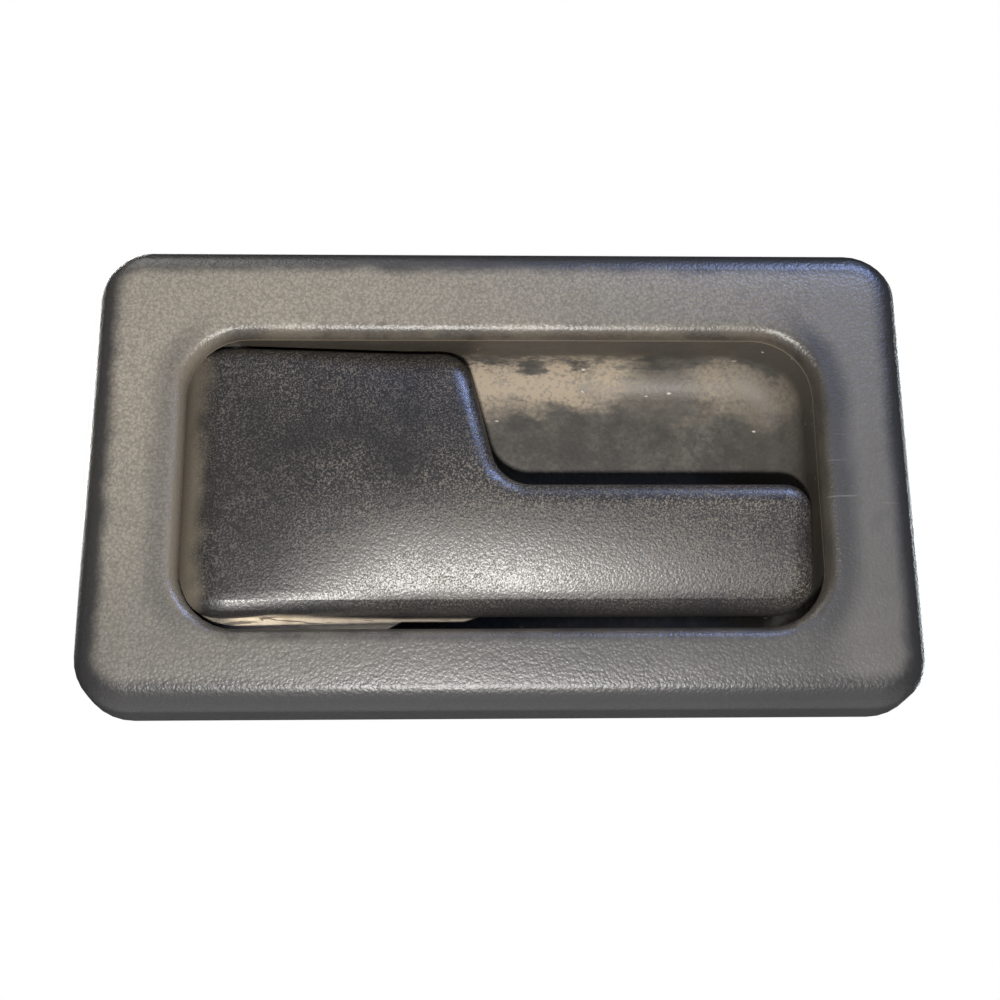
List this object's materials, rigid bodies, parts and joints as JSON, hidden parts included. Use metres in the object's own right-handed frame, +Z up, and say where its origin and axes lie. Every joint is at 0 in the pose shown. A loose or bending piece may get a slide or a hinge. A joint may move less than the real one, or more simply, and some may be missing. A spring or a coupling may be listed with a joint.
{
  "type": "car door handle",
  "caption": "Interior car door handle: rectangular trim bezel round a recessed finger cup, with an L-shaped lever that swings out on an upright pin.",
  "frame": {"origin": "level with the centre of the bezel's window, in the plane of its rear rim, which bears on the door trim", "axes": "+X along the handle from its hinge towards the grip's free end, +Y into the door, +Z up; the handle faces -Y"},
  "size_m": [0.124, 0.0313, 0.0717],
  "materials": {
    "trim_plastic": "fine leather grain with a rolled edge, lightly scratched",
    "cup_plastic": "plain moulded, dusty in its corners",
    "lever_plastic": "smooth satin, worn where fingers pull",
    "nylon": "plain moulded nylon",
    "rubber": "matt moulded rubber",
    "foam": "closed-cell foam strip",
    "zinc_steel": "yellow-grey zinc plating",
    "spring_steel": "plain bright steel, lightly oiled"
  },
  "bodies": {
    "housing": {"bezel": "trim_plastic", "housing": "cup_plastic", "rest_buffer": "rubber", "open_stop_buffer": "rubber", "hinge_pin": "spring_steel", "retaining_ring": "spring_steel", "upper_washer": "nylon", "lower_washer": "nylon", "bezel_clip_1": "spring_steel", "housing_screw_1": "zinc_steel", "grommet_nut_1": "nylon", "bezel_clip_2": "spring_steel", "housing_screw_2": "zinc_steel", "grommet_nut_2": "nylon", "bezel_clip_3": "spring_steel", "housing_screw_3": "zinc_steel", "grommet_nut_3": "nylon", "bezel_clip_4": "spring_steel", "housing_screw_4": "zinc_steel", "grommet_nut_4": "nylon", "foam_strip_1": "foam", "foam_strip_2": "foam", "foam_strip_3": "foam", "foam_strip_4": "foam", "foam_strip_5": "foam", "foam_strip_6": "foam"},
    "lever": {"lever_shell": "lever_plastic", "crank_arm": "zinc_steel", "crank_rivet_1": "spring_steel", "crank_rivet_2": "spring_steel", "return_spring": "spring_steel"},
    "rod_clip": {"rod_clip": "nylon"}
  },
  "joints": [
    {"name": "lever_hinge", "type": "hinge", "parent": "housing", "child": "lever", "pos_m": [-0.0415, 0.0011, 0], "axis": [0, 0, -1], "range_deg": [0, 35], "stiffness_Nm_per_rad": 0.2, "springref_deg": -45.84},
    {"name": "rod_clip_swivel", "type": "hinge", "parent": "lever", "child": "rod_clip", "pos_m": [-0.0415, 0.0186, 0.01], "axis": [0, 0, 1], "range_deg": [-25, 25]}
  ]
}
